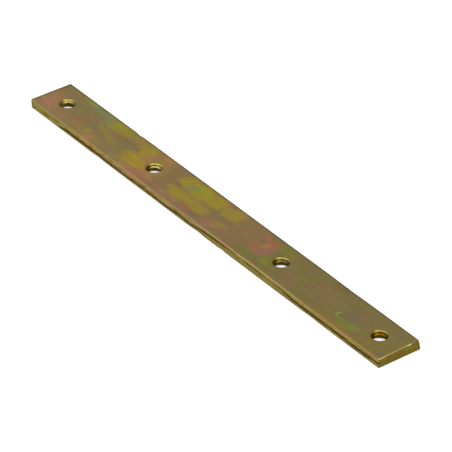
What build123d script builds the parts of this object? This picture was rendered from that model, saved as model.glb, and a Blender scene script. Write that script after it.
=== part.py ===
"""Flat steel mending plate with four screw holes in a row, countersunk on both faces.

Sizes are in millimetres. The plate lies flat: X runs along it, Y across it and Z up, and the
origin is at the middle of the underside.
"""

from build123d import *
import os

os.makedirs("parts", exist_ok=True)

# ---- Driving dimensions -------------------------------------------------------------------

# The bar
plate_length = 200.0  # from the left end's top edge to the right end's foot
plate_width = 18.0  # over the sheared bands of the two long edges
plate_thickness = 3.4

# The row of screw holes, the same either side of the middle
end_margin = 10.5  # from either extreme of the length to the middle of the nearest hole
hole_pitch = 53.0  # from an outer hole to the inner hole beside it
screw_hole_diameter = 4.3
sink_diameter = 6.2  # mouth of each countersink
sink_angle = 90.0  # included angle of each countersink
mouth_radius = 0.12  # softened edge round each countersink

# The long edges, slit from sheet: rolled over at the top, torn near the foot
shoulder_radius = 0.6
torn_band_height = 1.4  # from the underside up to the line where the slit began to tear
torn_band_hollow = 0.1  # how deep the torn band curves in
foot_radius = 0.12

# The ends, cropped to length by a blade that leans, so both slope the same way
end_lean = 0.4  # how far the upper face sits to the left of the underside
end_top_radius = 0.2

# ---- Worked-out sizes ---------------------------------------------------------------------

half_length = plate_length / 2
half_width = plate_width / 2
outer_hole_x = half_length - end_margin
inner_hole_x = outer_hole_x - hole_pitch
hole_row = [(-outer_hole_x, 0), (-inner_hole_x, 0), (inner_hole_x, 0), (outer_hole_x, 0)]
torn_band_middle = (foot_radius + torn_band_height) / 2

# ---- The plate ----------------------------------------------------------------------------

with BuildPart() as mending_plate:
    # The strip's section, the same all along, drawn for one long edge and mirrored
    with BuildSketch(Plane.YZ) as strip_section:
        with BuildLine():
            underside = Line((0, 0), (half_width - foot_radius, 0))
            foot = RadiusArc(underside @ 1, (half_width, foot_radius), -foot_radius)
            torn_band = ThreePointArc(
                foot @ 1,
                (half_width - torn_band_hollow, torn_band_middle),
                (half_width, torn_band_height),
            )
            sheared_band = Line(torn_band @ 1, (half_width, plate_thickness - shoulder_radius))
            shoulder = RadiusArc(
                sheared_band @ 1,
                (half_width - shoulder_radius, plate_thickness),
                -shoulder_radius,
            )
            Line(shoulder @ 1, (0, plate_thickness))
            mirror(about=Plane.YZ)
        make_face()
    extrude(amount=half_length, both=True)

    # Both ends cropped to length, each with a sharp foot and a dulled top edge
    with BuildSketch(Plane.XZ) as side_outline:
        with BuildLine():
            Polyline(
                (end_lean - half_length, 0),
                (half_length, 0),
                (half_length - end_lean, plate_thickness),
                (-half_length, plate_thickness),
                close=True,
            )
        make_face()
        top_corners = side_outline.vertices().group_by(Axis.Y)[-1]
        fillet(top_corners, radius=end_top_radius)
    extrude(amount=plate_width, both=True, mode=Mode.INTERSECT)

    # Screw holes, countersunk from above and again from below
    for face_plane in (Plane.XY.offset(plate_thickness), -Plane.XY):
        with Locations(face_plane):
            with Locations(*hole_row):
                CounterSinkHole(
                    radius=screw_hole_diameter / 2,
                    counter_sink_radius=sink_diameter / 2,
                    counter_sink_angle=sink_angle,
                )
    rings = mending_plate.edges().filter_by(GeomType.CIRCLE)
    mouths = rings.filter_by(lambda ring: abs(ring.radius - sink_diameter / 2) < mouth_radius)
    fillet(mouths, radius=mouth_radius)

mending_plate.part.label = "mending_plate"
export_step(mending_plate.part, "parts/mending_plate.step")
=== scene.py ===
"""Looks of a flat steel mending plate in yellow-chromated zinc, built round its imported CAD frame.

The plate is one piece, so one visual piece stands for its one CAD node. Places are metres in the
plate's own frame: X along it, Y across it, Z up, with the origin at the middle of the underside.
"""

import logging
import math
from dataclasses import dataclass
from enum import Enum

import bmesh
import bpy
from bmesh.types import BMEdge, BMesh, BMLayerItem, BMVert
from mathutils import Matrix, Vector, noise


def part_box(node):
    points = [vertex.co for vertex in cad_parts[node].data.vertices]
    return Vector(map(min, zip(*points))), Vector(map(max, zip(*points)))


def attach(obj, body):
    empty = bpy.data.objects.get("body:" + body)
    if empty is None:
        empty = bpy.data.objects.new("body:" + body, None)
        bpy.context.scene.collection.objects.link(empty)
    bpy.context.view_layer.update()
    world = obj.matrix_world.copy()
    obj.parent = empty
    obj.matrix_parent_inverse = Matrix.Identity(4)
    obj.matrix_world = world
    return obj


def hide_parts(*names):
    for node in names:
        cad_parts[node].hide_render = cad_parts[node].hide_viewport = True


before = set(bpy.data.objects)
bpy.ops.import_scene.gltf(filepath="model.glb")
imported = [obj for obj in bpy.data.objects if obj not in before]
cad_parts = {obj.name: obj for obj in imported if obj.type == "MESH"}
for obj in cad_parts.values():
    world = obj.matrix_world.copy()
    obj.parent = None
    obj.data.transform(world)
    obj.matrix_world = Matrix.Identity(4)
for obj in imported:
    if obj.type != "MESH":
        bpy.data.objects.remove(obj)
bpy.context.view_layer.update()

MM = 0.001
HAIR = MM / 50
NODE = "mending_plate"
SLOT = "yellow_zinc_steel"
UPPER_FACE = 3.4 * MM
WHITE = (1.0, 1.0, 1.0, 1.0)

log = logging.getLogger("mending_plate")


# ---- Shader building ----


class Signal:
    """The output of a shader node, which plain arithmetic turns into Math nodes."""

    def __init__(self, bench: "ShaderBench", output: bpy.types.NodeSocket) -> None:
        """Wraps one output socket in the node tree being built."""
        self.bench = bench
        self.output = output

    def _math(self, operation: str, *values: "Signal | float") -> "Signal":
        """Adds one Math node with these inputs."""
        return self.bench.node("Math", {"operation": operation}, dict(enumerate(values)))

    def __add__(self, other: "Signal | float") -> "Signal":
        """Sum."""
        return self._math("ADD", self, other)

    __radd__ = __add__

    def __sub__(self, other: "Signal | float") -> "Signal":
        """Difference."""
        return self._math("SUBTRACT", self, other)

    def __rsub__(self, other: "Signal | float") -> "Signal":
        """Difference, reflected."""
        return self._math("SUBTRACT", other, self)

    def __mul__(self, other: "Signal | float") -> "Signal":
        """Product."""
        return self._math("MULTIPLY", self, other)

    __rmul__ = __mul__

    def __abs__(self) -> "Signal":
        """Size without sign."""
        return self._math("ABSOLUTE", self)

    def largest(self, other: "Signal | float") -> "Signal":
        """The larger of the two."""
        return self._math("MAXIMUM", self, other)

    def rise(self, start: float, end: float, top: float = 1.0) -> "Signal":
        """Turns a value into a soft mask.

        Smooth steps end at 0 and top by themselves. A clamp on each would only fill Cycles's
        shader stack, and a material that overflows it is drawn black.

        Args:
            start: The value at which the mask is 0.
            end: The value at which the mask is full, on either side of start.
            top: How strong the full mask is.

        Returns:
            The mask, which eases in and out between the two.
        """
        settings = {"interpolation_type": "SMOOTHSTEP", "clamp": False}
        inputs = {"Value": self, "From Min": start, "From Max": end, "To Max": top}
        return self.bench.node("MapRange", settings, inputs)

    def vector(self, operation: str, *others: object, output: str = "Vector") -> "Signal":
        """Adds one Vector Math node, with this vector as its first input."""
        inputs = dict(enumerate((self, *others)))
        return self.bench.node("VectorMath", {"operation": operation}, inputs, output)

    def axis(self, name: str) -> "Signal":
        """One coordinate of this vector."""
        return self.bench.node("SeparateXYZ", inputs={0: self}, output=name)

    def drawn_out(self, turn: tuple[float, float, float], share: float) -> "Signal":
        """Turns these coordinates and shortens them along X, so that noise over them is long."""
        inputs = {"Vector": self, "Rotation": turn, "Scale": (share, 1.0, 1.0)}
        return self.bench.node("Mapping", inputs=inputs)


class ShaderBench:
    """A material or world node tree under construction."""

    def __init__(self, tree: bpy.types.NodeTree) -> None:
        """Empties a node tree and takes it over."""
        self.tree = tree
        tree.nodes.clear()

    def node(
        self,
        kind: str,
        settings: dict[str, object] | None = None,
        inputs: dict[str | int, object] | None = None,
        output: str | int = 0,
    ) -> Signal:
        """Adds a node, with its settings first and then its sockets.

        Args:
            kind: The node's type, without the ShaderNode that each begins with.
            settings: Properties of the node itself.
            inputs: Values, tints or links for its sockets, by name or number.
            output: The socket that the result stands for.

        Returns:
            The chosen output.
        """
        made = self.tree.nodes.new("ShaderNode" + kind)
        for name, value in (settings or {}).items():
            setattr(made, name, value)
        for name, value in (inputs or {}).items():
            if isinstance(value, Signal):
                self.tree.links.new(value.output, made.inputs[name])
            elif isinstance(value, Tint):
                made.inputs[name].default_value = (*value.value, 1.0)
            else:
                made.inputs[name].default_value = value
        return Signal(self, made.outputs[output] if len(made.outputs) else None)

    def mix(self, share: Signal | float, first: object, second: object) -> Signal:
        """Mixes two colours, with this share of the second."""
        inputs = {0: share, 6: first, 7: second}
        return self.node("Mix", {"data_type": "RGBA"}, inputs, output=2)

    def mark(self, name: str) -> Signal:
        """Reads how strongly the piece's points carry a mark."""
        return self.node("Attribute", {"attribute_name": name}, output="Fac")

    def mottle(
        self, where: Signal, scale: float, detail: float = 2.0, rough: float = 0.5, output: str | int = 0
    ) -> Signal:
        """Adds smooth noise.

        Args:
            where: The coordinates that it varies over.
            scale: Its frequency.
            detail: How many finer layers it has.
            rough: How strong the finer layers are.
            output: Its value, or its colour for three values at once.

        Returns:
            The noise, from 0 to 1 with a middle of 0.5.
        """
        inputs = {"Vector": where, "Scale": scale, "Detail": detail, "Roughness": rough}
        return self.node("TexNoise", inputs=inputs, output=output)


# ---- Finish ----


class Tint(Enum):
    """Colours that the chromate film takes with its thickness, and colours for painted shade and painted
    highlights, as linear light.
    """

    OLIVE = (0.185, 0.146, 0.055)
    BROWN = (0.229, 0.150, 0.072)
    KHAKI = (0.220, 0.168, 0.070)
    PINK = (0.366, 0.184, 0.097)
    MAGENTA = (0.329, 0.131, 0.115)
    RED = (0.326, 0.129, 0.075)
    ORANGE = (0.366, 0.175, 0.068)
    YELLOW = (0.321, 0.244, 0.024)
    LIME = (0.271, 0.276, 0.023)
    GREEN = (0.232, 0.282, 0.059)
    MOSS = (0.164, 0.193, 0.030)
    TEAL = (0.168, 0.222, 0.104)
    SLATE = (0.175, 0.127, 0.084)
    TAN = (0.352, 0.258, 0.098)
    STRAW = (0.257, 0.202, 0.050)
    HONEY = (0.430, 0.265, 0.030)
    PALE = (0.500, 0.450, 0.160)
    UMBER = (0.152, 0.100, 0.014)
    BRONZE = (0.235, 0.150, 0.034)
    SEPIA = (0.085, 0.068, 0.018)
    DRAB = (0.142, 0.120, 0.018)
    RUST = (0.250, 0.078, 0.012)
    GOLD = (0.162, 0.148, 0.046)
    AMBER = (0.165, 0.075, 0.002)
    BRIGHT = (0.560, 0.500, 0.280)
    PAINTED_SHADE = (0.060, 0.036, 0.001)


class Face(Enum):
    """A face that carries stains: its two axes and its normal, where it lies, and their reach."""

    TOP = ("xyz", UPPER_FACE, 2.2 * MM)
    NEAR_EDGE = ("xzy", -9.0 * MM, 0.8 * MM)
    RIGHT_END = ("yzx", 99.8 * MM, 0.5 * MM)


@dataclass(frozen=True)
class Stain:
    """A patch of film that dried thicker or thinner than the rest, or a patch of painted highlight.

    Attributes:
        tint: The film's colour there.
        place: Its middle.
        reach: Half its size along each axis.
        strength: How strongly it shows.
        edge: How wide its border is, as a share of its reach.
        turn: How far it is turned about the vertical, in degrees.
    """

    tint: Tint
    place: tuple[float, ...]
    reach: tuple[float, ...]
    strength: float
    edge: float = 0.6
    turn: float = 0.0

    def mask(self, where: Signal) -> Signal:
        """Shades the patch.

        Args:
            where: Coordinates on the plate.

        Returns:
            How much of the tint shows at each point.
        """
        away = where.vector("SUBTRACT", self.place)
        if self.turn:
            inputs = {"Vector": away, "Angle": -math.radians(self.turn)}
            away = away.bench.node("VectorRotate", {"rotation_type": "Z_AXIS"}, inputs)
        scaled = away.vector("MULTIPLY", tuple(1 / half for half in self.reach))
        distance = scaled.vector("LENGTH", output="Value")
        return distance.rise(1 + self.edge, 1 - self.edge, self.strength)


def stains_on(face: Face, *rows: tuple) -> tuple[Stain, ...]:
    """Places stains on one face.

    Args:
        face: The face.
        rows: For each its tint, its middle along the face's two axes and half its size along
            them, all four in millimetres, its strength and, where they differ from a stain's
            own, its edge and turn.

    Returns:
        The stains, in the same order.
    """
    axes, level, depth = face.value
    order = [axes.index(axis) for axis in "xyz"]
    made = []
    for tint, across, up, half_across, half_up, *rest in rows:
        place = (across * MM, up * MM, level)
        reach = (half_across * MM, half_up * MM, depth)
        turned = (tuple(triple[i] for i in order) for triple in (place, reach))
        made.append(Stain(tint, *turned, *rest))
    return tuple(made)


LEFT_STAINS = stains_on(
    Face.TOP,
    (Tint.BROWN, -96.6, 5.6, 4, 3, 0.5),
    (Tint.PINK, -95.8, -3.6, 5, 5.6, 0.9),
    (Tint.PINK, -87, -7.2, 8, 3, 0.45, 0.8),
    (Tint.MAGENTA, -96.7, -7, 2.1, 1.3, 0.8),
    (Tint.YELLOW, -98.3, -8.3, 1.2, 0.5, 0.7, 0.5),
    (Tint.MOSS, -97.4, 7.4, 1.7, 0.8, 0.5),
    (Tint.YELLOW, -93, 7.4, 1.3, 0.5, 0.5),
    (Tint.YELLOW, -93.7, 1.2, 0.6, 0.9, 0.5),
    (Tint.MOSS, -87.3, 7.4, 2.6, 0.9, 0.5),
    (Tint.GREEN, -83.2, 7, 2.8, 1.2, 0.95, 0.4),
    (Tint.TEAL, -78.2, 6.5, 3.1, 1.2, 0.85, 0.5),
    (Tint.TEAL, -74.4, 5.8, 2.6, 1.5, 0.85, 0.5),
    (Tint.GREEN, -72.6, 7.4, 2.2, 0.7, 0.6),
    (Tint.TEAL, -70.4, 5, 1.6, 1.2, 0.8, 0.5),
    (Tint.YELLOW, -63.6, 5.7, 6.4, 2.9, 0.9, 0.45),
    (Tint.LIME, -66.8, 5.5, 2.4, 2.2, 0.8, 0.5),
    (Tint.LIME, -59.2, 6.5, 2.4, 1.4, 0.4),
    (Tint.YELLOW, -53, 6.3, 4.4, 2.3, 0.45, 0.5),
    (Tint.ORANGE, -53.2, 6.6, 3.6, 2, 0.45, 0.7),
    (Tint.RED, -55, 8, 0.9, 0.35, 0.6, 0.5),
    (Tint.SLATE, -56, 2.2, 3.6, 1, 0.6),
    (Tint.SLATE, -70.8, -1, 2.2, 1.7, 0.4, 0.7),
    (Tint.YELLOW, -63.6, -0.9, 8.4, 1.3, 0.45, 0.7, -20),
    (Tint.LIME, -69.6, 0.7, 1.8, 0.6, 0.6, 0.5, -20),
    (Tint.LIME, -70.4, -4.3, 1.4, 0.9, 0.8, 0.4),
    (Tint.ORANGE, -70.8, -6.4, 1, 0.7, 0.6),
    (Tint.PINK, -67.5, -6.4, 2.3, 1.8, 0.9, 0.5),
    (Tint.MAGENTA, -67.9, -6.2, 1, 0.9, 0.7),
    (Tint.PINK, -77, -5.4, 5, 2.4, 0.3, 0.8),
    (Tint.TEAL, -69.2, 4.8, 1.5, 1.4, 0.5),
    (Tint.TEAL, -72.4, 7, 2.2, 0.9, 0.6),
    (Tint.GREEN, -69.2, 7, 1.6, 1, 0.6),
    (Tint.HONEY, -68, -6.8, 8, 2.6, 0.22, 0.7),
    (Tint.PINK, -85, -5, 2.2, 1.8, 0.35, 0.7),
    (Tint.LIME, -87, 7, 2, 1.1, 0.35),
    (Tint.BRONZE, -95, 1.2, 1.7, 1.7, 0.3, 0.7),
    (Tint.BRONZE, -59, 3.2, 2.2, 1.4, 0.4),
    (Tint.TAN, -53, -7.2, 2.4, 1.4, 0.3),
    (Tint.UMBER, -99.7, 3, 0.9, 6, 0.4, 0.5),
)

MIDDLE_STAINS = stains_on(
    Face.TOP,
    (Tint.YELLOW, -46.3, 4.8, 4.8, 3.6, 0.95, 0.4),
    (Tint.LIME, -45.6, 6.5, 2.7, 1.6, 1, 0.5),
    (Tint.LIME, -45.6, 6.5, 1.8, 1.1, 0.5),
    (Tint.SLATE, -49.2, 2.3, 1.6, 1.1, 0.85, 0.4),
    (Tint.ORANGE, -36.7, 6.9, 4.4, 1.3, 0.85, 0.5),
    (Tint.RED, -33.3, 7.3, 1, 0.7, 0.7, 0.5),
    (Tint.RED, -39.8, 7.8, 1, 0.4, 0.6, 0.5),
    (Tint.RED, -41.5, 2.2, 2.4, 2.9, 0.75, 0.4),
    (Tint.MAGENTA, -41.1, 4, 1.5, 1.3, 1, 0.5),
    (Tint.SLATE, -39.7, 0.6, 0.6, 1.1, 0.5, 0.5),
    (Tint.MOSS, -39.9, 1.6, 0.8, 1.6, 0.7, 0.5),
    (Tint.YELLOW, -45.6, -2.3, 6, 3.4, 1, 0.4),
    (Tint.YELLOW, -41.6, -3.9, 3, 1.6, 0.9, 0.4),
    (Tint.PINK, -40.2, -1, 1, 2.4, 0.85, 0.4, 25),
    (Tint.PINK, -36.4, -3.4, 4.6, 1.5, 0.85, 0.5, -22),
    (Tint.MOSS, -38.6, 3.2, 2, 0.7, 0.8, 0.5, 30),
    (Tint.MAGENTA, -44.6, -6.8, 2.3, 0.9, 0.9, 0.5),
    (Tint.MAGENTA, -36.6, -5.8, 3.6, 1.7, 0.7),
    (Tint.MAGENTA, -40.4, -7, 3.4, 1.3, 1, 0.5),
    (Tint.PINK, -33.4, -0.2, 1.6, 2.6, 0.45),
    (Tint.ORANGE, -33.2, 4.8, 1.4, 0.7, 0.5, 0.5, -35),
    (Tint.OLIVE, -30, 4.6, 2, 2.8, 0.5, 0.7),
    (Tint.YELLOW, -20.6, 4.4, 5, 3.4, 1, 0.35),
    (Tint.YELLOW, -13.3, 4.4, 5.8, 3.7, 1, 0.35),
    (Tint.YELLOW, -6.3, 4.4, 5, 3.5, 1, 0.35),
    (Tint.YELLOW, -12.3, 1, 3, 1.8, 0.9, 0.3),
    (Tint.LIME, -14, 5.2, 5, 2, 0.6),
    (Tint.LIME, -13.2, 2.4, 3, 2.1, 0.65),
    (Tint.TEAL, -18.1, 3, 1.9, 2, 0.55, 0.5),
    (Tint.GREEN, -17.6, 3.4, 1.9, 1.8, 0.45),
    (Tint.TEAL, -18, 1.2, 2.2, 0.6, 0.5, 0.5),
    (Tint.ORANGE, -21.2, 7.4, 1.2, 0.9, 0.7, 0.5),
    (Tint.ORANGE, -2.6, 6.5, 1, 1.2, 0.4),
    (Tint.MOSS, -1.2, 1.6, 1, 2.2, 0.5),
    (Tint.SLATE, -21.4, 0.5, 2.6, 0.6, 0.8, 0.5),
    (Tint.PINK, -10.2, -0.2, 3, 0.6, 0.5),
    (Tint.YELLOW, -18.3, -2.7, 5.8, 2.9, 1, 0.4),
    (Tint.YELLOW, -24, -1.6, 1.9, 1.2, 0.4, 0.5),
    (Tint.YELLOW, -8.2, -3.1, 6, 2.5, 1, 0.4),
    (Tint.YELLOW, -4.6, -0.7, 2, 0.9, 0.2, 0.5),
    (Tint.PINK, -23.2, -6.6, 2.6, 1.2, 0.6),
    (Tint.PINK, -17.8, -6.8, 4.2, 1.2, 0.5),
    (Tint.MAGENTA, -19.8, -6.6, 1, 0.6, 0.5),
    (Tint.RED, -10.4, -6.2, 2.8, 1.2, 0.9, 0.5, -14),
    (Tint.SLATE, -5.6, -6.6, 2.2, 1, 0.5),
    (Tint.TEAL, -20, -8.4, 1, 0.45, 0.5),
    (Tint.TEAL, -4.2, -8.2, 1.2, 0.4, 0.4),
    (Tint.RED, -21.4, 8.1, 0.9, 0.35, 0.7, 0.5),
    (Tint.RED, -10, 8.1, 1.2, 0.35, 0.7, 0.5),
    (Tint.RED, -5.6, 8, 0.9, 0.35, 0.6, 0.5),
    (Tint.RED, -0.6, 8.1, 1, 0.35, 0.8, 0.5),
    (Tint.HONEY, -39.8, -1, 8.4, 9.5, 0.34, 0.5),
    (Tint.PINK, -42.4, 0.6, 2.6, 1.8, 0.4, 0.7),
    (Tint.PINK, -44.6, -7.2, 2.4, 1.6, 0.6),
    (Tint.HONEY, -46.4, -6, 4.4, 2.6, 0.25),
    (Tint.MAGENTA, -37, -7.6, 5, 1.6, 0.4),
    (Tint.KHAKI, -20, -1, 2.6, 1.6, 0.45),
)

RIGHT_STAINS = stains_on(
    Face.TOP,
    (Tint.YELLOW, 4.2, 4.4, 5.6, 3.5, 0.75, 0.5),
    (Tint.LIME, 1.3, 2, 1.7, 1.2, 0.4),
    (Tint.RED, 1.3, 7.8, 1.2, 0.5, 0.8, 0.5),
    (Tint.ORANGE, 9, 6.6, 0.9, 1, 0.6),
    (Tint.OLIVE, 10.2, 3.6, 1.5, 2.6, 0.5, 0.5),
    (Tint.OLIVE, 4.6, 0.3, 4.4, 0.8, 0.6, 0.5),
    (Tint.PINK, 3, -5.6, 4.4, 2.2, 0.35, 0.7),
    (Tint.OLIVE, 8, -7, 3.8, 1.8, 0.6),
    (Tint.OLIVE, 13, 1, 2.6, 2.4, 0.4, 0.7),
    (Tint.ORANGE, 5, 7, 2, 1, 0.3, 0.7),
    (Tint.SLATE, 27, 7.2, 2.6, 1.2, 0.4),
    (Tint.BRONZE, 36, 5.2, 2.8, 1.8, 0.4, 0.7),
    (Tint.HONEY, 36, 5.3, 3, 1.8, 0.25, 0.7),
    (Tint.UMBER, 36, 5.3, 3, 1.8, 0.3, 0.7),
    (Tint.OLIVE, 27, -3.4, 2, 1.6, 0.8),
    (Tint.UMBER, 61, 7.4, 4, 1.8, 0.45, 0.7),
    (Tint.MOSS, 81, -3, 1.8, 1.6, 0.5),
    (Tint.UMBER, 61, -7, 3, 1.8, 0.2, 0.7),
    (Tint.YELLOW, 77, -7.2, 2.4, 1.4, 0.35),
    (Tint.YELLOW, 99.5, -1, 1.1, 9, 0.3, 0.5),
    (Tint.YELLOW, 5.8, -2.9, 3.2, 1.2, 0.6, 0.5),
    (Tint.RED, 1.6, -5.2, 1.7, 1.4, 0.6),
    (Tint.PINK, 4.8, -5.3, 1.3, 0.9, 0.8, 0.5),
    (Tint.MAGENTA, 0.9, -7, 1, 0.6, 0.6, 0.5),
    (Tint.MAGENTA, 10, -4.8, 1, 1, 0.4),
    (Tint.BRIGHT, 2.8, -7.3, 0.5, 0.25, 0.4),
    (Tint.RED, 16.6, 1.4, 5.6, 6, 0.15, 0.8),
    (Tint.RED, 22.5, 5.9, 3.4, 0.9, 1, 0.5, -38),
    (Tint.RED, 26.9, 4.4, 2.4, 2.6, 0.7, 0.5),
    (Tint.RED, 27.2, 5.2, 1.2, 1.2, 0.4),
    (Tint.RED, 25.4, -1.8, 3.6, 2.3, 0.9, 0.35),
    (Tint.RED, 23.4, 0, 2.2, 1.8, 0.5),
    (Tint.RED, 28, 1.4, 1.4, 2.2, 0.6, 0.5),
    (Tint.ORANGE, 26, 1.8, 1.3, 2.1, 0.85, 0.5),
    (Tint.MAGENTA, 29, -0.3, 2.3, 2, 1, 0.4),
    (Tint.MAGENTA, 29.1, -0.4, 1.6, 1.4, 0.7, 0.5),
    (Tint.MOSS, 31.7, 5.2, 1.8, 2.4, 0.6),
    (Tint.MOSS, 30.6, -1.6, 0.9, 1.8, 0.5),
    (Tint.MOSS, 33, -3.8, 3.2, 2.2, 0.9, 0.5),
    (Tint.GREEN, 32.6, -4.4, 1.5, 1.2, 0.3),
    (Tint.MOSS, 23.6, -5.8, 4.4, 1.5, 0.65),
    (Tint.TEAL, 23.8, -4.9, 0.9, 0.6, 0.4),
    (Tint.MOSS, 8.4, -8.2, 5, 0.5, 0.5),
    (Tint.BROWN, 44, -1.4, 8.4, 3, 0.5, 0.7, -28),
    (Tint.SLATE, 38.3, 6, 1.6, 1.3, 0.4),
    (Tint.BROWN, 62.8, -0.4, 5.4, 5.6, 0.4, 0.7),
    (Tint.RED, 62.8, -1.4, 3.8, 4, 0.12, 0.7),
    (Tint.SLATE, 76.8, -0.6, 4.8, 3.8, 0.85, 0.7),
    (Tint.MAGENTA, 79.3, 1.6, 1.5, 1.2, 0.18, 0.7),
    (Tint.TEAL, 80, -3, 2.8, 1.1, 0.35),
    (Tint.MOSS, 72.6, -3.6, 2, 1.6, 0.4),
    (Tint.MOSS, 75.3, -5.6, 3.6, 1.6, 0.9, 0.5),
    (Tint.MOSS, 81, -4.5, 3.4, 1.3, 0.85, 0.5),
    (Tint.GREEN, 80.6, -4.6, 1.8, 0.9, 0.5),
    (Tint.BRONZE, 79, -8, 22, 1.4, 0.7),
    (Tint.RED, 70.4, -6.9, 1.6, 0.7, 0.4),
    (Tint.BRIGHT, 71.2, 1, 0.35, 1, 0.1, 0.7),
    (Tint.RED, 88.4, 7.4, 1, 0.5, 0.4),
    (Tint.SLATE, 93.9, 5, 1.6, 1.6, 1, 0.5),
    (Tint.YELLOW, 93.3, 7.5, 1.6, 0.5, 0.35, 0.5),
    (Tint.MOSS, 97.5, 3.6, 1.2, 1.8, 0.35),
    (Tint.SLATE, 97.6, -6.4, 1.6, 1.6, 0.7),
    (Tint.RED, 98.3, 7.8, 1, 0.6, 0.5, 0.5),
    (Tint.BRONZE, 94, -3.4, 4.4, 4.8, 0.4, 0.8),
    (Tint.BRONZE, 88.4, -5.2, 3.2, 2.2, 0.6, 0.7),
)

NEAR_EDGE_STAINS_AND_HIGHLIGHT = stains_on(
    Face.NEAR_EDGE,
    (Tint.KHAKI, -91, 3, 11, 0.6, 0.8),
    (Tint.LIME, -91.3, 2.3, 4.4, 0.5, 1),
    (Tint.LIME, -96.2, 1.9, 3.4, 0.7, 0.8),
    (Tint.TAN, -87, 1.7, 7, 1, 0.5),
    (Tint.UMBER, -84.2, 2.2, 2.4, 0.22, 1),
    (Tint.UMBER, -90.8, 1.5, 2.6, 0.42, 1),
    (Tint.SLATE, -99.8, 2, 1.2, 1, 1),
    (Tint.SLATE, -99.8, 1.7, 0.9, 0.9, 0.8),
    # Painted highlight along the near shoulder, not a stain.
    (Tint.TAN, 30, 2.95, 24, 0.5, 0.6),
    (Tint.MOSS, -56, 0.9, 1.6, 0.4, 0.8),
    (Tint.PINK, -60.6, 0.6, 1.4, 0.3, 0.6),
    (Tint.PINK, -66, 3.1, 1.8, 0.5, 0.6),
    (Tint.MAGENTA, -42, 3.2, 3.2, 0.4, 0.6),
    (Tint.RED, -38, 2, 2.4, 0.6, 0.6),
    (Tint.MOSS, -43, 0.3, 1.2, 0.4, 0.8),
    (Tint.PINK, -22.8, 2.2, 1.6, 0.9, 0.6),
    (Tint.ORANGE, -18.6, 1.1, 2.6, 0.7, 0.8),
    (Tint.MOSS, -12.4, 0.7, 3, 0.5, 0.7),
    (Tint.STRAW, 12, 1.2, 9, 1, 0.7),
    (Tint.LIME, 7.6, 1.5, 1.6, 0.4, 0.5),
    (Tint.RUST, 16.2, 2.5, 0.8, 0.25, 0.6),
    (Tint.RUST, 20.2, 2.6, 0.6, 0.25, 0.5),
    (Tint.STRAW, 34, 1.4, 12, 1.2, 0.8),
    (Tint.RUST, 31, 2, 1.4, 0.3, 0.5),
    (Tint.RUST, 36, 1.2, 1.6, 0.5, 0.5),
    (Tint.RUST, 67.2, 1.5, 1.4, 0.3, 0.4),
)

RIGHT_END_STAINS = stains_on(
    Face.RIGHT_END,
    (Tint.RUST, -7.6, 1.6, 0.5, 0.4, 0.5),
    (Tint.LIME, -6.6, 2.6, 1.2, 0.4, 0.4),
    (Tint.MOSS, -2.6, 2.2, 1.6, 0.9, 0.3),
    (Tint.MOSS, 4.6, 2.4, 2.4, 0.7, 0.5),
    (Tint.GREEN, 5.4, 2.6, 0.8, 0.4, 0.3),
    (Tint.RUST, 6.2, 0.7, 2.8, 0.65, 0.75),
)

GILDING = stains_on(
    Face.TOP,
    (Tint.DRAB, 90.4, 2.4, 2.4, 2, 0.9, 0.5),
    (Tint.AMBER, 86.8, 1.2, 2.6, 2.4, 1, 0.3),
    (Tint.TAN, -36, 2.5, 2.4, 2, 0.8, 0.5),
    (Tint.ORANGE, -34.6, 2.2, 2, 1.5, 0.35, 0.5),
)


@dataclass(frozen=True)
class PaintedDentHighlight:
    """A round dent in the upper face, shown by a painted highlight along part of its rim.

    Attributes:
        x: Its middle along the plate.
        y: Its middle across the plate.
        radius: Of its rim.
        width: Half the rim's width.
        strength: How bright the painted highlight is.
    """

    x: float = 72.3 * MM
    y: float = -3.1 * MM
    radius: float = 1.2 * MM
    width: float = 0.5 * MM
    strength: float = 0.4

    def mask(self, where: Signal) -> Signal:
        """Paints the highlight on the rim, strongest toward the left-hand end.

        Args:
            where: Coordinates on the plate.

        Returns:
            How strongly the painted highlight shows.
        """
        away = where.vector("SUBTRACT", (self.x, self.y, UPPER_FACE))
        off_rim = abs(away.vector("LENGTH", output="Value") - self.radius)
        rim = off_rim.rise(self.width, 0.0, self.strength)
        return rim * away.axis("X").rise(0.7 * self.radius, -self.radius)


@dataclass
class Coat:
    """The plate's colour while it is painted on, one layer over another.

    Attributes:
        place: Coordinates on the plate.
        moved: The same, wandering, so that borders stray.
        colour: The colour so far.
    """

    place: Signal
    moved: Signal
    colour: Signal | Tint

    @property
    def bench(self) -> ShaderBench:
        """The node tree being built."""
        return self.place.bench

    def paint(self, share: Signal, over: Signal | Tint) -> None:
        """Lays a colour over the colour so far, as strongly as the share says."""
        self.colour = self.bench.mix(share, self.colour, over)

    def stain(self, stains: tuple[Stain, ...]) -> None:
        """Paints patches, in order."""
        for stain in stains:
            self.paint(stain.mask(self.moved), stain.tint)


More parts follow.
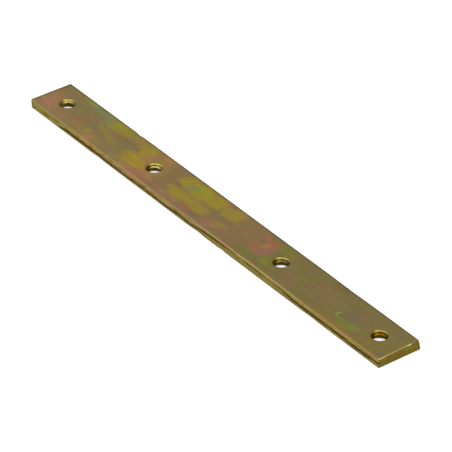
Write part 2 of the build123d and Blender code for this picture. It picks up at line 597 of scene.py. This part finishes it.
@dataclass(frozen=True)
class YellowZinc:
    """Yellow chromate over bright zinc, satin, with the rainbow patches of an uneven film.

    Attributes:
        stains: The patches of the upper face, painted in order.
        edge_stains_and_highlight: Those of the near long edge and the right-hand end, with a painted
            highlight along the near shoulder.
        gilding: The orange film in the holes.
        dent_highlight: The painted highlight on the round dent's rim.
        gloss: Roughness of the plain film.
        wander: How far a patch's border strays.
        dark_side: The way across a hole to the side where more shade is painted.
        blend: How far one colour of a hole's wall runs into the next.
    """

    stains: tuple[Stain, ...] = LEFT_STAINS + MIDDLE_STAINS + RIGHT_STAINS
    edge_stains_and_highlight: tuple[Stain, ...] = NEAR_EDGE_STAINS_AND_HIGHLIGHT + RIGHT_END_STAINS
    gilding: tuple[Stain, ...] = GILDING
    dent_highlight: PaintedDentHighlight = PaintedDentHighlight()
    gloss: float = 0.34
    wander: float = 2.0 * MM
    dark_side: tuple[float, float, float] = (-0.7, -0.7, 0.0)
    blend: float = 0.1 * MM

    def build(self, holes: "tuple[ScrewHole, ...]") -> bpy.types.Material:
        """Makes the material.

        Args:
            holes: The plate's holes, round and in which shade is painted.

        Returns:
            The material.
        """
        material = bpy.data.materials.new(SLOT)
        material.use_nodes = True
        bench = ShaderBench(material.node_tree)
        place = bench.node("TexCoord", output="Object")
        grain = bench.mottle(place, 900.0, 3.0)
        coat = Coat(place, self.stray(place), Tint.KHAKI)
        self.film(coat)
        self.sheared_edges(coat)
        for hole in holes:
            self.punched(coat, hole)
        # Painted highlight along the right end's top edge, with a painted glint near its far corner.
        coat.paint(bench.mark("painted_highlight"), Tint.BRIGHT)
        # Painted highlight on part of the round dent's rim.
        coat.paint(self.dent_highlight.mask(place), Tint.PALE)
        # Painted shade along the tear line of each long edge, in short slanted strokes.
        strokes = self.slanted(place, 900.0)
        coat.paint(bench.mark("torn") * (0.7 + strokes.rise(0.40, 0.52, 0.3)), Tint.PAINTED_SHADE)
        relief = {"Strength": 0.15, "Distance": 0.05 * MM, "Height": grain}
        shader = bench.node(
            "BsdfPrincipled",
            inputs={
                "Base Color": coat.colour,
                "Metallic": 1.0,
                "Roughness": self.gloss + 0.12 * (grain - 0.5) + 0.10 * bench.mark("sheared"),
                "Specular Tint": (0.5, 0.5, 0.5, 1.0),
                "Normal": bench.node("Bump", inputs=relief),
            },
        )
        bench.node("OutputMaterial", inputs={"Surface": shader})
        return material

    def stray(self, place: Signal) -> Signal:
        """Moves the coordinates about, so that borders wander.

        Args:
            place: Coordinates on the plate.

        Returns:
            The wandering coordinates.
        """
        swirl = place.drawn_out((0.0, 0.0, 0.7), 0.6)
        swirl = place.bench.mottle(swirl, 380.0, 3.0, 0.55, "Color")
        reach = (2.4 * self.wander, 1.4 * self.wander, 0.0)
        shift = swirl.vector("SUBTRACT", (0.5, 0.5, 0.5)).vector("MULTIPLY", reach)
        return place.bench.node("Mapping", inputs={"Vector": place, "Location": shift})

    @staticmethod
    def slanted(place: Signal, scale: float) -> Signal:
        """Noise in short strokes that climb to the right along the edges."""
        return place.bench.mottle(place.drawn_out((0.0, -0.5, 0.0), 0.3), scale, 3.0)

    def film(self, coat: Coat) -> None:
        """Paints the film's patches over its plain colour.

        Args:
            coat: The coat, still plain khaki.
        """
        broad = coat.bench.mottle(coat.place, 60.0, 1.0)
        drift = coat.place.axis("X") + (broad - 0.5) * (30 * MM)
        coat.paint(drift.rise(-60 * MM, -35 * MM), Tint.BROWN)
        coat.paint(drift.rise(12 * MM, 34 * MM), Tint.OLIVE)
        bloom = coat.bench.mottle(coat.moved, 150.0, 3.0, 0.6)
        coat.paint(bloom.rise(0.54, 0.68, 0.35), Tint.RED)
        coat.paint(bloom.rise(0.46, 0.32, 0.40), Tint.MOSS)
        plain = coat.colour
        coat.stain(self.stains)
        worn = coat.bench.mottle(coat.place.drawn_out((0.0, 0.0, 0.75), 0.3), 520.0, 4.0, 0.6)
        coat.paint(worn.rise(0.38, 0.70, 0.45), plain)
        fleck = coat.bench.mottle(coat.moved, 620.0, 3.0, 0.6)
        coat.paint(fleck.rise(0.54, 0.70, 0.20), Tint.UMBER)
        coat.paint(fleck.rise(0.46, 0.30, 0.25), Tint.KHAKI)
        # Painted shade, speckled, along the far long edge and the left end's top edge.
        coat.paint(coat.bench.mark("rim") * fleck.rise(0.20, 0.60), Tint.SEPIA)
        lines = coat.bench.mottle(coat.place.vector("MULTIPLY", (0.06, 1.0, 1.0)), 1900.0)
        coat.paint(lines.rise(0.3, 0.7, 0.12), Tint.TAN)
        below = coat.place.axis("Z").rise(1.5 * MM, 0.4 * MM, 0.6)
        cloud = coat.bench.mottle(coat.moved, 85.0)
        coat.paint(cloud.rise(0.50, 0.68) * below, Tint.YELLOW)
        coat.paint(cloud.rise(0.50, 0.34) * below, Tint.PINK)

    def sheared_edges(self, coat: Coat) -> None:
        """Colours the slit long edges, and paints the cropped ends darker as painted shade.

        Args:
            coat: The coat, with the film's colour everywhere.
        """
        bench = coat.bench
        streaks = self.slanted(coat.place, 1250.0)
        slit = bench.mix(streaks.rise(0.40, 0.53), Tint.BRONZE, Tint.TAN)
        lower = bench.mix(streaks.rise(0.35, 0.56), Tint.DRAB, Tint.STRAW)
        slit = bench.mix(bench.mark("below"), slit, lower)
        hue = self.slanted(coat.place, 560.0)
        slit = bench.mix(hue.rise(0.54, 0.66, 0.6), slit, Tint.LIME)
        slit = bench.mix(hue.rise(0.46, 0.34, 0.6), slit, Tint.ORANGE)
        coat.paint(bench.mark("sheared") * 0.85, slit)
        # Painted shade: the cropped ends are painted darker, in blotches.
        blotch = bench.mottle(coat.place.vector("MULTIPLY", (1.0, 1.0, 0.3)), 900.0, 3.0)
        crop = bench.mix(blotch.rise(0.35, 0.65), Tint.UMBER, Tint.DRAB)
        coat.paint(bench.mark("cropped"), crop)
        coat.stain(self.edge_stains_and_highlight)

    def punched(self, coat: Coat, hole: "ScrewHole") -> None:
        """Colours one hole's wall, and paints shade round its mouth and down its wall.

        Args:
            coat: The coat so far.
            hole: The hole.
        """
        away = coat.place.vector("SUBTRACT", (hole.x, 0.0, UPPER_FACE))
        flat = away.vector("MULTIPLY", (1.0, 1.0, 0.0))
        distance = flat.vector("LENGTH", output="Value")
        side = flat.vector("DOT_PRODUCT", self.dark_side, output="Value")
        drop = -1 * away.axis("Z")
        # Painted shade in a ring round the mouth, strongest on the dark side.
        ring = distance.rise(hole.mouth + 0.7 * MM, hole.mouth, 0.7)
        coat.paint(ring * side.rise(-2.8 * MM, 1.4 * MM), Tint.UMBER)
        inside = distance.rise(hole.mouth + 0.3 * MM, hole.mouth + 0.2 * MM)
        wall = coat.bench.mark("bored") * inside
        coat.paint(wall, Tint.GOLD)
        sink = wall * drop.rise(hole.wall_depth, hole.wall_depth - self.blend)
        for stain in self.gilding:
            coat.paint(sink * stain.mask(coat.place), stain.tint)
        # Painted shade on the step, below it and down the plain wall.
        foot = hole.ledge_depth + hole.step
        above, under = foot - self.blend / 2, foot + self.blend / 2
        step = drop.rise(hole.ledge_depth - self.blend, hole.ledge_depth, hole.shade_strength)
        step *= drop.rise(under, above)
        lower_shade = drop.rise(above, under, hole.lower_shade)
        bore = drop.rise(hole.wall_depth - self.blend, hole.wall_depth + self.blend)
        coat.paint(wall * step.largest(lower_shade).largest(bore), Tint.PAINTED_SHADE)
        # Painted shade in a crescent on the hole's dark side, in umber and then darker.
        corner = wall * side.rise(0.6 * MM, 2.2 * MM)
        coat.paint(corner, Tint.UMBER)
        coat.paint(corner * hole.shade_strength, Tint.PAINTED_SHADE)


# ---- The plate ----


@dataclass(frozen=True)
class ScrewHole:
    """A punched screw hole, countersunk on both faces.

    Attributes:
        x: Its place along the plate.
        step: Height of the step in its upper countersink.
        shade_strength: How dark the painted shade on the step and the left-hand wall is, from 0 to 1.
        lower_shade: How dark the painted shade below the step is, from 0 to 1.
        radius: Of the plain wall.
        mouth: Radius of each countersink at the face.
        angle: Half the countersink's included angle.
        softening: Radius of the rolled edge round each mouth.
        exit_depth: Depth of the lower countersink.
        ledge: Radius at which the upper countersink steps down.
        facets: How many steps it takes round.
    """

    x: float
    step: float
    shade_strength: float
    lower_shade: float
    radius: float = 2.15 * MM
    mouth: float = 3.1 * MM
    angle: float = math.radians(45)
    softening: float = 0.12 * MM
    exit_depth: float = 1.2 * MM
    ledge: float = 2.6 * MM
    facets: int = 96

    @property
    def ledge_depth(self) -> float:
        """Depth at which the upper countersink steps down."""
        return (self.mouth - self.ledge) / math.tan(self.angle)

    @property
    def wall_depth(self) -> float:
        """Depth at which the plain wall begins."""
        return (self.mouth - self.radius) / math.tan(self.angle) + self.step

    def wall(self, stepped: bool) -> list[tuple[float, float]]:
        """The outline of one countersink.

        Args:
            stepped: Whether the punch left a step part of the way down.

        Returns:
            Pairs of radius and depth below the face, from the plain wall up to the face.
        """
        outermost = self.mouth + self.softening * math.tan(self.angle / 2)
        points = [(self.radius, self.exit_depth)]
        if stepped:
            points = [(self.radius, self.wall_depth), (self.ledge, self.ledge_depth + self.step)]
            points.append((self.ledge, self.ledge_depth))
        for step in range(4):
            turn = self.angle * (1 - step / 3)
            radius = outermost - self.softening * math.sin(turn)
            points.append((radius, self.softening * (1 - math.cos(turn))))
        return points

    def punch_into(self, bm: BMesh, thickness: float, clear: float) -> None:
        """Spins this hole's punch, a closed shape that passes both faces.

        Args:
            bm: The mesh that collects the punches.
            thickness: The plate's thickness.
            clear: How far the punch stands past each face.
        """
        lower = self.wall(stepped=False)
        widest = lower[-1][0]
        outline = [(0.0, -clear), (widest, -clear), *reversed(lower)]
        outline += [(radius, thickness - depth) for radius, depth in self.wall(stepped=True)]
        outline += [(widest, thickness + clear), (0.0, thickness + clear)]
        verts = [bm.verts.new((self.x + radius, 0.0, z)) for radius, z in outline]
        edges = [bm.edges.new(pair) for pair in zip(verts, verts[1:])]
        bmesh.ops.spin(
            bm,
            geom=verts + edges,
            cent=(self.x, 0.0, 0.0),
            axis=(0.0, 0.0, 1.0),
            angle=2 * math.pi,
            steps=self.facets,
            use_merge=True,
        )


def ramp(value: float, start: float, end: float) -> float:
    """Eases from 0 to 1 as a value goes from start to end, on either side of start."""
    share = min(1.0, max(0.0, (value - start) / (end - start)))
    return share * share * (3 - 2 * share)


@dataclass(frozen=True)
class TearPoint:
    """One point of the line along which a slit edge began to tear.

    Attributes:
        x: Its place along the plate.
        height: Its height above the underside.
        depth: How open the tear is there, from 0 to 1.
    """

    x: float
    height: float
    depth: float


def tear_points(*rows: tuple[float, float, float]) -> tuple[TearPoint, ...]:
    """Makes a tear line from places along the plate and heights, in millimetres, and depths."""
    return tuple(TearPoint(x * MM, height * MM, depth) for x, height, depth in rows)


NEAR_TEAR = tear_points(
    (-100, 1.9, 0.1), (-90, 2.1, 0.2), (-83, 2.0, 0.3), (-81.5, 0.8, 0.8),
    (-78, 1.3, 1.0), (-60, 1.3, 1.0), (-50, 1.1, 0.9), (-46, 1.35, 0.7),
    (-42, 1.0, 0.9), (-30, 1.35, 0.8), (-18, 0.95, 0.9), (-10, 1.45, 1.0),
    (-4, 1.1, 0.9), (0, 1.6, 0.8), (4.5, 2.1, 0.9), (14, 2.35, 0.9),
    (20, 2.5, 0.4), (25, 2.4, 0.1), (29, 2.4, 0.6), (36, 2.4, 0.6),
    (40, 2.4, 0.2), (47, 2.4, 0.5), (52, 1.8, 0.9), (56, 1.5, 1.0),
    (70, 1.55, 1.0), (90, 1.5, 1.0), (100, 1.8, 0.9),
)

FAR_TEAR = tear_points(
    (-100, 1.6, 0.8), (-70, 1.3, 1.0), (-38, 1.7, 0.7), (-12, 1.2, 1.0),
    (15, 1.4, 0.9), (44, 2.0, 0.4), (60, 1.3, 0.9), (100, 1.5, 1.0),
)


@dataclass(frozen=True)
class SlitEdge:
    """A long edge slit from sheet: a smooth sheared band above a rough torn one.

    Attributes:
        side: 1 for the far edge and -1 for the near one.
        tear: Points of the line between the two bands.
        seed: Sets the noise apart from the other edge's.
        groove: Depth of the open tear along that line.
        groove_width: Half the width of the open tear.
        hollow: How far the torn band lies back.
        quiver: How far the line strays up and down.
        drag: Depth of the scores that the blade drew down the whole edge.
    """

    side: int
    tear: tuple[TearPoint, ...]
    seed: float
    groove: float = 0.20 * MM
    groove_width: float = 0.22 * MM
    hollow: float = 0.06 * MM
    quiver: float = 0.12 * MM
    drag: float = 0.012 * MM

    def line(self, x: float) -> tuple[float, float]:
        """Finds the tear line at one place along the edge.

        Args:
            x: The place along the plate.

        Returns:
            The line's height, and how open the tear is.
        """
        index = next((i for i, p in enumerate(self.tear) if p.x >= x), len(self.tear) - 1)
        after = self.tear[index]
        before = self.tear[max(0, index - 1)]
        share = ramp(x, before.x, max(after.x, before.x + MM / 10))
        height = before.height + (after.height - before.height) * share
        depth = before.depth + (after.depth - before.depth) * share
        stray = noise.noise(Vector((x / (1.6 * MM), self.seed, 0.0)))
        return height + self.quiver * stray, depth

    def hollow_at(self, x: float, z: float) -> float:
        """How far the surface lies behind the plain side at one point.

        Args:
            x: The place along the plate.
            z: The height.

        Returns:
            The distance inward.
        """
        height, depth = self.line(x)
        below = height - z
        opening = self.groove * depth * math.exp(-((below / self.groove_width) ** 2))
        rough = noise.noise(Vector((x / (1.1 * MM), z / (0.5 * MM), self.seed)))
        torn = self.hollow * ramp(below, 0.0, 0.2 * MM) * (1 + 0.8 * rough)
        score = noise.noise(Vector((x / (0.5 * MM), z / (3 * MM), self.seed + 9)))
        return max(0.0, opening + torn + self.drag * (1 + score))


@dataclass(frozen=True)
class Dent:
    """A shallow dent in a long edge's outline.

    Attributes:
        x: Its middle along the plate.
        side: 1 for the far edge and -1 for the near one.
        length: Half its length.
        depth: Its depth.
        z: The height at which it is deepest.
        height: Half its height.
    """

    x: float
    side: int
    length: float
    depth: float
    z: float
    height: float

    def depth_at(self, x: float, z: float) -> float:
        """The dent's depth at one point of the edge."""
        lengthwise = ramp(abs(x - self.x), self.length, 0.0)
        return self.depth * lengthwise * ramp(abs(z - self.z), self.height, 0.0)


DENTS = (
    Dent(-57.0 * MM, 1, 2.8 * MM, 0.24 * MM, UPPER_FACE, 3.0 * MM),
    Dent(64.0 * MM, 1, 12.0 * MM, 0.10 * MM, UPPER_FACE, 3.0 * MM),
    Dent(0.5 * MM, -1, 5.0 * MM, 0.26 * MM, 0.0, 1.6 * MM),
    Dent(14.4 * MM, -1, 2.4 * MM, 0.22 * MM, 0.0, 1.2 * MM),
    Dent(-58.0 * MM, -1, 5.0 * MM, 0.14 * MM, 0.0, 1.4 * MM),
    Dent(64.0 * MM, -1, 6.0 * MM, 0.14 * MM, 0.0, 1.4 * MM),
)


def add_object(name: str, data: bpy.types.ID) -> bpy.types.Object:
    """Adds an object to the scene, at the origin.

    Args:
        name: Its name.
        data: What it shows: a mesh, a light or a camera.

    Returns:
        The object.
    """
    made = bpy.data.objects.new(name, data)
    bpy.context.scene.collection.objects.link(made)
    return made


def add_mesh(name: str, bm: BMesh) -> bpy.types.Object:
    """Turns a finished bmesh into an object of the scene.

    Args:
        name: The object's name.
        bm: The mesh, which is freed.

    Returns:
        The object.
    """
    mesh = bpy.data.meshes.new(name)
    bm.to_mesh(mesh)
    bm.free()
    return add_object(name, mesh)


@dataclass
class MendingPlate:
    """The plate: a slit and cropped steel strip with a row of punched holes.

    Attributes:
        low: Lowest corner of the CAD node.
        high: Highest corner of the CAD node.
        shoulder: Radius of the rolled-over upper edge of each long side.
        foot: Radius of the lower edge of each long side.
        lean: How far the upper face sits toward the left of the underside.
        skew: How far the right end's top edge turns out of square, over half the width.
        knock: How far the right end's far top corner is knocked back.
        end_edge: Radius of each end's top edge.
        end_margin: From the end of the outline to the middle of the nearest hole.
        pitch: From an outer hole to the inner hole beside it.
        stations: How many lengths the strip is divided into.
        row: Height of the divisions of its sides.
        column: Width of the divisions of its faces.
        sharp: Angle from which two faces meet in a sharp edge.
    """

    low: Vector
    high: Vector
    shoulder: float = 0.6 * MM
    foot: float = 0.12 * MM
    lean: float = 0.4 * MM
    skew: float = 0.16 * MM
    knock: float = 0.4 * MM
    end_edge: float = 0.25 * MM
    end_margin: float = 10.5 * MM
    pitch: float = 53.0 * MM
    stations: int = 400
    row: float = 0.11 * MM
    column: float = 0.8 * MM
    sharp: float = math.radians(32)

    @property
    def length(self) -> float:
        """Overall length."""
        return self.high.x - self.low.x

    @property
    def width(self) -> float:
        """Overall width."""
        return self.high.y - self.low.y

    @property
    def thickness(self) -> float:
        """Overall thickness."""
        return self.high.z - self.low.z

    @property
    def holes(self) -> tuple[ScrewHole, ...]:
        """The row of screw holes.

        Returns:
            The holes, each with its step and the strengths of its painted shade.
        """
        outer = self.length / 2 - self.end_margin
        inner = outer - self.pitch
        return (
            ScrewHole(-outer, 0.15 * MM, 0.0, 0.0),
            ScrewHole(-inner, 0.40 * MM, 0.9, 0.0),
            ScrewHole(inner, 0.42 * MM, 1.0, 0.8),
            ScrewHole(outer, 0.45 * MM, 1.0, 0.85),
        )

    def build(self) -> bpy.types.Object:
        """Makes the finished piece.

        Returns:
            The plate's object.
        """
        strip = add_mesh("plain_strip", self.strip())
        punch = add_mesh("punch", self.punch())
        cut = strip.modifiers.new("holes", "BOOLEAN")
        cut.operation = "DIFFERENCE"
        cut.solver = "EXACT"
        cut.object = punch
        posed = strip.evaluated_get(bpy.context.evaluated_depsgraph_get())
        bm = bmesh.new()
        bm.from_mesh(posed.to_mesh())
        posed.to_mesh_clear()
        for spent in (strip, punch):
            bpy.data.objects.remove(spent)
        self.weather(bm)
        piece = add_mesh("plated_strip", bm)
        piece.data.shade_smooth()
        piece.data.set_sharp_from_angle(angle=self.sharp)
        evened = piece.modifiers.new("even_normals", "WEIGHTED_NORMAL")
        evened.keep_sharp = True
        return piece

    def strip(self) -> BMesh:
        """Makes the strip with its ends cropped and its edges softened.

        Returns:
            A closed mesh, divided finely enough to carry the torn edges.
        """
        bm = bmesh.new()
        bmesh.ops.create_cube(bm, size=1.0)
        size = (self.length - self.lean, self.width, self.thickness)
        bmesh.ops.scale(bm, vec=size, verts=bm.verts)
        bmesh.ops.translate(bm, vec=(self.lean / 2, 0.0, self.thickness / 2), verts=bm.verts)
        crown = [v for v in bm.verts if v.co.z > self.thickness / 2]
        bmesh.ops.translate(bm, vec=(-self.lean, 0.0, 0.0), verts=crown)
        self.soften(bm, self.long_edges(bm, self.thickness), self.shoulder, 6)
        self.soften(bm, self.long_edges(bm, 0.0), self.foot, 2)
        self.soften(bm, self.end_edges(bm), self.end_edge, 4)
        lengthwise = [e for e in bm.edges if e.calc_length() > self.length / 2]
        cuts = self.stations - 1
        bmesh.ops.subdivide_edges(bm, edges=lengthwise, cuts=cuts, use_grid_fill=True)
        rows = int((self.thickness - self.shoulder - self.foot) / self.row)
        for step in range(1, rows):
            self.divide(bm, Vector((0, 0, self.foot + step * self.row)), Vector((0, 0, 1)))
        self.skew_end(bm)
        columns = int((self.width - 2 * self.shoulder) / self.column)
        for step in range(columns + 1):
            y = (step - columns / 2) * self.column
            self.divide(bm, Vector((0, y, 0)), Vector((0, 1, 0)))
        bmesh.ops.recalc_face_normals(bm, faces=bm.faces)
        return bm

    def turned(self, rise: float, y: float) -> float:
        """How far the right end stands back at a share of the thickness, for being out of square."""
        return self.skew * rise * (y / (self.width / 2))

    def skew_end(self, bm: BMesh) -> None:
        """Turns the right end's top edge slightly, as the blade left it.

        Args:
            bm: The strip.
        """
        for vert in bm.verts:
            if vert.co.x > self.length / 2 - MM:
                vert.co.x -= self.turned(vert.co.z / self.thickness, vert.co.y)

    def long_edges(self, bm: BMesh, height: float) -> list[BMEdge]:
        """Picks the two long edges at one height.

        Args:
            bm: The strip.
            height: Their height.

        Returns:
            The edges.
        """
        return [
            edge
            for edge in bm.edges
            if edge.calc_length() > self.length / 2
            and all(abs(v.co.z - height) < HAIR for v in edge.verts)
            and all(abs(abs(v.co.y) - self.width / 2) < HAIR for v in edge.verts)
        ]

    def end_edges(self, bm: BMesh) -> list[BMEdge]:
        """Picks the edges round both cropped faces, but for their feet.

        Args:
            bm: The strip.

        Returns:
            The edges.
        """
        bm.normal_update()
        cropped = [face for face in bm.faces if abs(face.normal.x) > 0.9]
        around = {edge for face in cropped for edge in face.edges}
        return [e for e in around if max(v.co.z for v in e.verts) > 1.5 * self.foot]

    @staticmethod
    def soften(bm: BMesh, edges: list[BMEdge], radius: float, segments: int) -> None:
        """Rounds some edges.

        Args:
            bm: The mesh.
            edges: The edges.
            radius: The rounding's radius.
            segments: How many facets it gets.
        """
        bmesh.ops.bevel(
            bm,
            geom=edges,
            offset=radius,
            offset_type="OFFSET",
            segments=segments,
            profile=0.5,
            affect="EDGES",
            material=-1,
            clamp_overlap=False,
        )

    @staticmethod
    def divide(bm: BMesh, point: Vector, normal: Vector) -> None:
        """Divides the mesh along the plane through a point."""
        everything = bm.verts[:] + bm.edges[:] + bm.faces[:]
        bmesh.ops.bisect_plane(bm, geom=everything, dist=MM / 1000, plane_co=point, plane_no=normal)

    def punch(self) -> BMesh:
        """Makes the punches of all the holes.

        Returns:
            Their closed meshes.
        """
        bm = bmesh.new()
        for hole in self.holes:
            hole.punch_into(bm, self.thickness, MM)
        bmesh.ops.remove_doubles(bm, verts=bm.verts, dist=MM / 1000)
        bmesh.ops.recalc_face_normals(bm, faces=bm.faces)
        return bm

    def weather(self, bm: BMesh) -> None:
        """Tears the long edges, dents the outline and marks each kind of surface.

        Args:
            bm: The punched strip.
        """
        names = ("sheared", "torn", "below", "bored", "painted_highlight", "cropped", "rim")
        marks = {name: bm.verts.layers.float.new(name) for name in names}
        slits = (SlitEdge(-1, NEAR_TEAR, 3.7), SlitEdge(1, FAR_TEAR, 8.2))
        holes = self.holes
        margin = MM / 20
        for vert in bm.verts:
            x, y, z = vert.co
            slit = slits[y > 0]
            inward = self.width / 2 - abs(y)
            drop = self.thickness - z
            if inward < 0.7 * self.shoulder and z > HAIR:
                fade = ramp(inward, self.shoulder, 0.0) * ramp(drop, 0.05 * MM, 0.45 * MM)
                height, depth = slit.line(x)
                below = height - z
                vert[marks["sheared"]] = ramp(drop, 0.25 * MM, 0.55 * MM)
                vert[marks["below"]] = ramp(below, 0.0, 0.2 * MM)
                # How strongly shade is painted along the tear line.
                vert[marks["torn"]] = depth * ramp(abs(below), 0.68 * MM, 0.34 * MM)
                vert.co.y -= slit.side * fade * slit.hollow_at(x, z)
            if inward < 2 * self.shoulder:
                dents = (dent.depth_at(x, z) for dent in DENTS if dent.side == slit.side)
                vert.co.y -= slit.side * sum(dents)
            # Where shade is painted along the far long edge.
            if y > 0:
                across = ramp(y + drop, 7.9 * MM, 8.4 * MM)
                vert[marks["rim"]] = across * ramp(drop, 1.5 * MM, 0.5 * MM)
            self.mark_ends(vert, marks, drop)
            self.knock_back(vert)
            near = any(math.hypot(x - hole.x, y) < hole.mouth + HAIR for hole in holes)
            if near and margin < drop < self.thickness - margin:
                vert[marks["bored"]] = 1.0

    def knock_back(self, vert: BMVert) -> None:
        """Knocks back the far corner of the right end's top edge.

        Args:
            vert: The point to move.
        """
        x, y, z = vert.co
        across = ramp(self.width / 2 - y, 3.4 * MM, 0.4 * MM)
        upward = ramp(self.thickness - z, 1.9 * MM, 0.1 * MM)
        along = ramp(self.high.x - self.lean - x, 2.0 * MM, 0.0)
        vert.co.x -= self.knock * across * upward * along

    def mark_ends(self, vert: BMVert, marks: dict[str, BMLayerItem], drop: float) -> None:
        """Marks the cropped faces, where shade is painted along the left end's top edge and where a
        highlight is painted along the right end's top edge.

        Args:
            vert: The point to mark.
            marks: The marks' layers.
            drop: Its depth below the upper face.
        """
        x, y, _ = vert.co
        rise = 1 - drop / self.thickness
        right = self.high.x - self.lean * rise - self.turned(rise, y) - x
        left = x - self.low.x - self.lean * (1 - rise)
        behind = min(right, left)
        if behind < HAIR:
            vert[marks["cropped"]] = 1.0
        # Where shade is painted along the left end's top edge.
        if drop < MM / 2:
            vert[marks["rim"]] = max(vert[marks["rim"]], ramp(left, 1.1 * MM, 0.5 * MM))
        # Painted highlight along the right end's top edge, strongest at the near corner, with a painted
        # glint near the far corner.
        edge = max(behind, drop) / self.end_edge
        if 0.0 < edge < 0.8 and right < left:
            front = ramp(y, -4.5 * MM, -7.5 * MM)
            glint = ramp(abs(y - 4.6 * MM), 1.12 * MM, 0.32 * MM)
            fade = ramp(y, 6.5 * MM, 5.5 * MM)
            vert[marks["painted_highlight"]] = fade * max(0.1 + 0.5 * front, glint)

    def dress(self, piece: bpy.types.Object, finish: YellowZinc) -> None:
        """Gives the piece its finish and ties it to the frame.

        Args:
            piece: The plate's object.
            finish: The finish that it gets.
        """
        piece.data.materials.clear()
        piece.data.materials.append(finish.build(self.holes))
        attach(piece, "root")
        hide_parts(NODE)


# ---- Studio ----


@dataclass
class Studio:
    """A white sweep of floor under soft light.

    Attributes:
        extent: Half the floor's size.
        gap: How far the floor lies below the plate's underside.
        glow: The share of the floor that shows as plain white.
        paper: Brightness of the floor to the rays that carry light.
        softbox: The side of each lamp's square face.
    """

    extent: float = 3.0
    gap: float = 0.05 * MM
    glow: float = 0.75
    paper: float = 0.92
    softbox: float = 0.8

    def build(self) -> None:
        """Lays the floor, hangs the lamps and lights the surroundings."""
        self.floor()
        self.surroundings()
        self.lamp("right_softbox", Vector((0.62, 0.10, 0.78)), 8.0)
        self.lamp("front_softbox", Vector((0.06, -0.62, 0.78)), 4.0)
        self.lamp("left_softbox", Vector((-0.50, -0.62, 0.60)), 1.6)

    def floor(self) -> None:
        """Lays the floor, which is white to what the camera sees and paper to what lights it."""
        bm = bmesh.new()
        bmesh.ops.create_grid(bm, x_segments=1, y_segments=1, size=self.extent)
        bmesh.ops.translate(bm, vec=(0.0, 0.0, -self.gap), verts=bm.verts)
        floor = add_mesh("floor", bm)
        material = bpy.data.materials.new("white_floor")
        material.use_nodes = True
        bench = ShaderBench(material.node_tree)
        colour = (self.paper, self.paper, self.paper, 1.0)
        matt = bench.node("BsdfDiffuse", inputs={"Color": colour})
        white = bench.node("Emission", inputs={"Strength": 1.0})
        rays = ("Is Camera Ray", "Is Glossy Ray", "Is Transmission Ray")
        seen, mirrored, through = (bench.node("LightPath", output=ray) for ray in rays)
        share = seen.largest(mirrored).largest(through) * self.glow
        both = bench.node("MixShader", inputs={0: share, 1: matt, 2: white})
        bench.node("OutputMaterial", inputs={"Surface": both})
        floor.data.materials.append(material)

    def surroundings(self) -> None:
        """Lights the surroundings evenly, in plain white."""
        world = bpy.data.worlds.new("surroundings")
        world.use_nodes = True
        bpy.context.scene.world = world
        bench = ShaderBench(world.node_tree)
        light = bench.node("Background", inputs={"Color": WHITE, "Strength": 1.0})
        bench.node("OutputWorld", inputs={"Surface": light})

    def lamp(self, name: str, place: Vector, power: float) -> None:
        """Hangs one soft box, aimed at the plate.

        Args:
            name: Its name.
            place: Where it hangs.
            power: Its power in watts.
        """
        light = bpy.data.lights.new(name, "AREA")
        light.size = self.softbox
        light.energy = power
        lamp = add_object(name, light)
        lamp.location = place
        lamp.rotation_euler = place.to_track_quat("Z", "Y").to_euler()


@dataclass(frozen=True)
class ProductCamera:
    """The camera: a long lens that looks down along the plate.

    Attributes:
        azimuth: Degrees round from looking along +Y.
        elevation: Degrees above the horizon.
        roll: Degrees that the camera is turned about its own axis.
        distance: From the origin.
        lens: Focal length, in millimetres.
        sensor: Sensor width, in millimetres.
        slide: How far the camera stands right of the line through the origin.
        rise: How far it stands above that line.
        clip: The nearest and the farthest that it sees.
    """

    azimuth: float = 52.53
    elevation: float = 34.225
    roll: float = 0.401
    distance: float = 1.28985
    lens: float = 295.66
    sensor: float = 36.0
    slide: float = 3.28 * MM
    rise: float = -1.29 * MM
    clip: tuple[float, float] = (0.05, 20.0)

    def build(self) -> None:
        """Sets the camera up and makes it the scene's own."""
        turn, tilt, roll = (math.radians(a) for a in (self.azimuth, self.elevation, self.roll))
        level_back = Vector((math.sin(turn), -math.cos(turn), 0.0))
        back = level_back * math.cos(tilt) + Vector((0.0, 0.0, math.sin(tilt)))
        level = (-back).cross(Vector((0, 0, 1))).normalized()
        upright = level.cross(-back)
        right = math.cos(roll) * level + math.sin(roll) * upright
        up = math.cos(roll) * upright - math.sin(roll) * level
        place = back * self.distance + right * self.slide + up * self.rise
        data = bpy.data.cameras.new("camera")
        data.sensor_width = self.sensor
        data.lens = self.lens
        data.clip_start, data.clip_end = self.clip
        camera = add_object("camera", data)
        facing = Matrix((right, up, back)).transposed().to_4x4()
        camera.matrix_world = Matrix.Translation(place) @ facing
        bpy.context.scene.camera = camera


def main() -> None:
    """Builds the plate, its finish, the studio and the camera."""
    logging.basicConfig(level=logging.INFO, format="%(name)s: %(message)s")
    low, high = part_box(NODE)
    plate = MendingPlate(low, high)
    piece = plate.build()
    plate.dress(piece, YellowZinc())
    log.info("%s: %d faces", piece.name, len(piece.data.polygons))
    Studio().build()
    ProductCamera().build()
    bpy.context.scene.view_settings.view_transform = "Standard"


if __name__ == "__main__":
    main()
